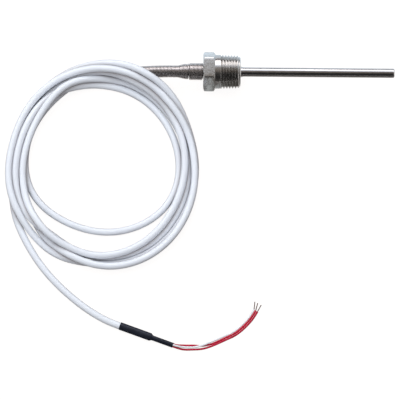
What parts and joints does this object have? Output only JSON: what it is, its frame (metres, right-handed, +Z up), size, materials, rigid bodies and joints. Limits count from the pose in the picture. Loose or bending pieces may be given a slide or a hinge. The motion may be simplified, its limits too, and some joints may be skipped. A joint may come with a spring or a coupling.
{
  "type": "rtd temperature probe with hex fitting and lead",
  "caption": "Direct-lead resistance temperature probe: steel sheath in a tapered-thread hex fitting, spring strain relief and a coiled white lead with bare wire ends",
  "frame": {"origin": "on the probe's axis, in the hex's thread-side face, where the tapered thread starts", "axes": "+X runs along the sheath to its tip, +Z is up from the hex flat that the probe rests on, +Y completes the right-handed frame"},
  "size_m": [0.2434, 0.1904, 0.0226],
  "materials": {
    "turned_steel": "fine turned",
    "drawn_steel": "polished",
    "spring_steel": "drawn wire",
    "element_ceramic": "matte",
    "leg_metal": "bright",
    "solder": "satin",
    "filling_ceramic": "matte",
    "white_insulation": "semi-gloss",
    "red_insulation": "semi-gloss",
    "seal_resin": "matte",
    "white_jacket": "semi-gloss",
    "black_shrink": "satin",
    "bare_copper": "stranded"
  },
  "bodies": {
    "root": {"hex_fitting": "turned_steel", "sheath_tube": "drawn_steel", "tip_plug": "drawn_steel", "relief_spring": "spring_steel", "element_body": "element_ceramic", "element_leg_single": "leg_metal", "element_leg_paired": "leg_metal", "joint_single": "solder", "joint_paired": "solder", "tip_filling": "filling_ceramic", "core_white": "white_insulation", "core_red_1": "red_insulation", "core_red_2": "red_insulation", "cable_seal": "seal_resin", "cable_lead_in": "white_jacket", "cable_coil": "white_jacket", "cable_inner_loop": "white_jacket", "cable_tail": "white_jacket", "shrink_sleeve": "black_shrink", "wire_white": "white_insulation", "wire_red_1": "red_insulation", "wire_red_2": "red_insulation", "bare_end_white": "bare_copper", "bare_end_red_1": "bare_copper", "bare_end_red_2": "bare_copper"}
  },
  "joints": []
}
